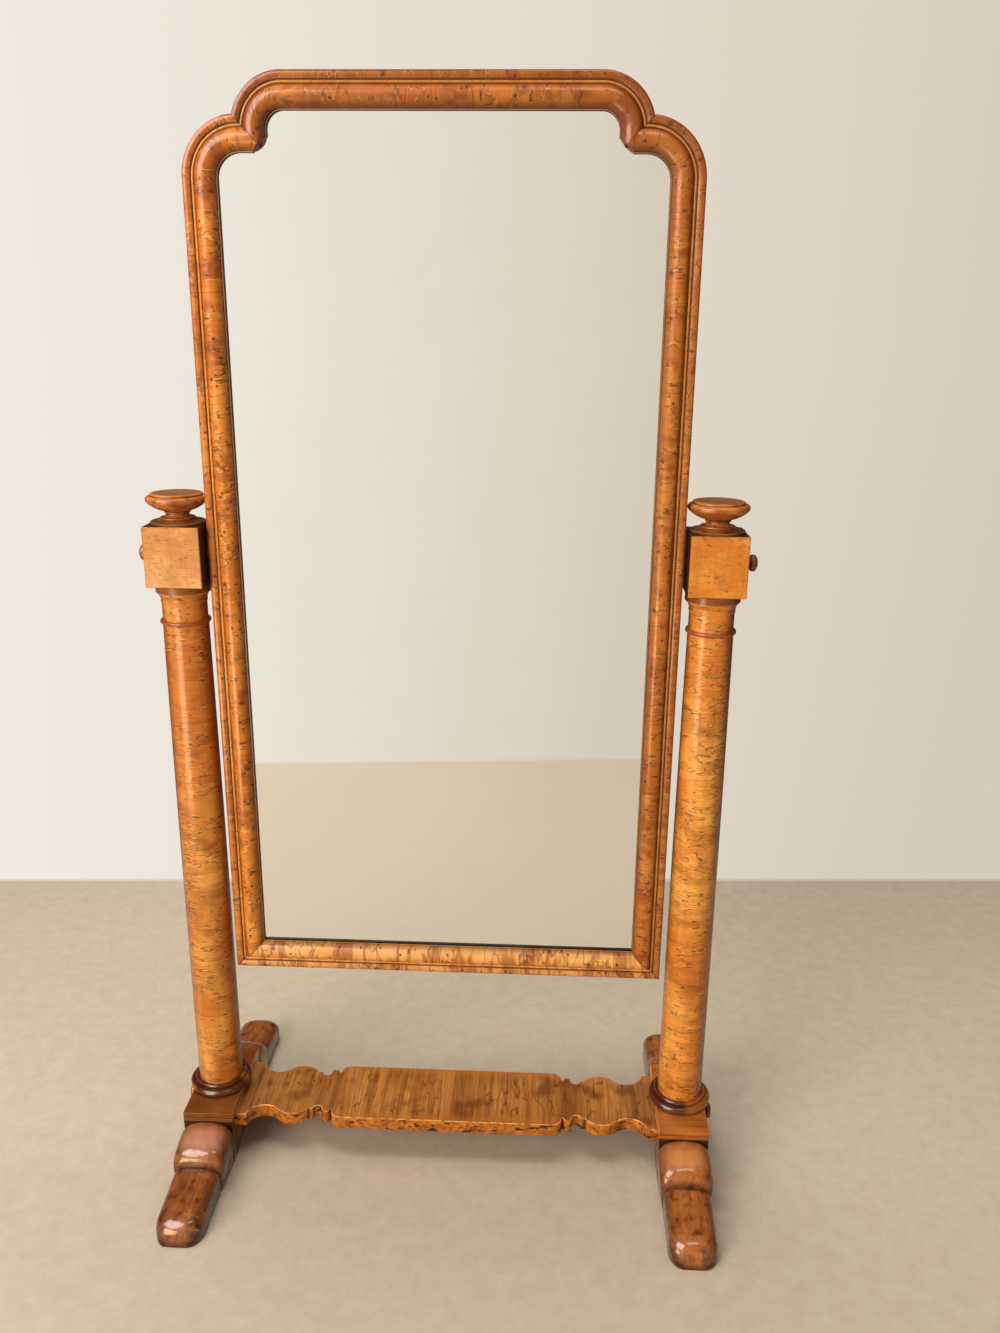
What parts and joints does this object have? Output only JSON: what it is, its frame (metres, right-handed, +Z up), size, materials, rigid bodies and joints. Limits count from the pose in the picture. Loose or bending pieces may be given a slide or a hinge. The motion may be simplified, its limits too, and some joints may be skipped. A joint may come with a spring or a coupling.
{
  "type": "cheval mirror",
  "caption": "Free-standing cheval mirror: a tall cusped-head frame that tilts between turned columns on sledge feet, joined by a shaped stretcher platform.",
  "frame": {"origin": "on the floor, midway between the two columns", "axes": "+Z up, -Y towards the front of the mirror, +X to the right seen from the front"},
  "size_m": [0.8876, 0.526, 1.6245],
  "materials": {
    "birdseye_maple_veneer": "glossy amber shellac over cross-banded bird's-eye maple",
    "figured_maple_column": "glossy amber shellac over curly maple",
    "golden_maple_block": "glossy shellac over plain golden maple",
    "amber_turned_maple": "glossy shellac over turned wood",
    "red_brown_polished_wood": "worn glossy red-brown polish",
    "dark_turned_wood": "glossy dark brown polish",
    "brown_polished_board": "worn satin polish over cross-grained veneer",
    "turned_wood_knob": "polished turned wood",
    "aged_brass": "tarnished, satin",
    "brown_leather_washer": "matte",
    "silvered_mirror_plate": "silvered glass",
    "aged_pine": "bare, darkened with age",
    "dull_steel": "dull, slightly rusted"
  },
  "bodies": {
    "stand": {"left_foot": "red_brown_polished_wood", "left_plinth": "red_brown_polished_wood", "left_base_ring": "dark_turned_wood", "left_column": "figured_maple_column", "left_neck_ring": "dark_turned_wood", "left_capital": "figured_maple_column", "left_pivot_block": "golden_maple_block", "left_finial": "amber_turned_maple", "left_stretcher_bolt": "aged_brass", "left_pivot_bush": "aged_brass", "right_foot": "red_brown_polished_wood", "right_plinth": "red_brown_polished_wood", "right_base_ring": "dark_turned_wood", "right_column": "figured_maple_column", "right_neck_ring": "dark_turned_wood", "right_capital": "figured_maple_column", "right_pivot_block": "golden_maple_block", "right_finial": "amber_turned_maple", "right_stretcher_bolt": "aged_brass", "right_pivot_bush": "aged_brass", "stretcher_platform": "brown_polished_board", "stretcher_nuts": "dull_steel"},
    "mirror": {"frame_left_stile": "birdseye_maple_veneer", "frame_right_stile": "birdseye_maple_veneer", "frame_top_rail": "birdseye_maple_veneer", "frame_bottom_rail": "birdseye_maple_veneer", "mitre_dowels": "aged_pine", "mirror_glass": "silvered_mirror_plate", "glass_blocks": "aged_pine", "left_backboard": "aged_pine", "centre_backboard": "aged_pine", "right_backboard": "aged_pine", "backboard_screws": "dull_steel", "pivot_plate_screws": "dull_steel", "left_pivot_plate": "aged_brass", "left_pivot_washer": "brown_leather_washer", "right_pivot_plate": "aged_brass", "right_pivot_washer": "brown_leather_washer"},
    "left_screw": {"left_pivot_screw": "aged_brass"},
    "left_knob": {"left_pivot_knob": "turned_wood_knob"},
    "right_screw": {"right_pivot_screw": "aged_brass"},
    "right_knob": {"right_pivot_knob": "turned_wood_knob"}
  },
  "joints": [
    {"name": "mirror_tilt", "type": "hinge", "parent": "stand", "child": "mirror", "pos_m": [0, 0, 1], "axis": [1, 0, 0], "continuous": true},
    {"name": "left_screw_advance", "type": "slide", "parent": "stand", "child": "left_screw", "axis": [-1, 0, 0], "range_m": [0, 0.003]},
    {"name": "left_knob_turn", "type": "hinge", "parent": "left_screw", "child": "left_knob", "pos_m": [-0.435, 0, 1], "axis": [-1, 0, 0], "range_deg": [0, 720]},
    {"name": "right_screw_advance", "type": "slide", "parent": "stand", "child": "right_screw", "axis": [1, 0, 0], "range_m": [0, 0.003]},
    {"name": "right_knob_turn", "type": "hinge", "parent": "right_screw", "child": "right_knob", "pos_m": [0.435, 0, 1], "axis": [1, 0, 0], "range_deg": [0, 720]}
  ],
  "couplings": [
    {"joint": "left_knob_turn", "follows": "left_screw_advance", "rad_per_m": 4188.8},
    {"joint": "right_knob_turn", "follows": "right_screw_advance", "rad_per_m": 4188.8}
  ]
}
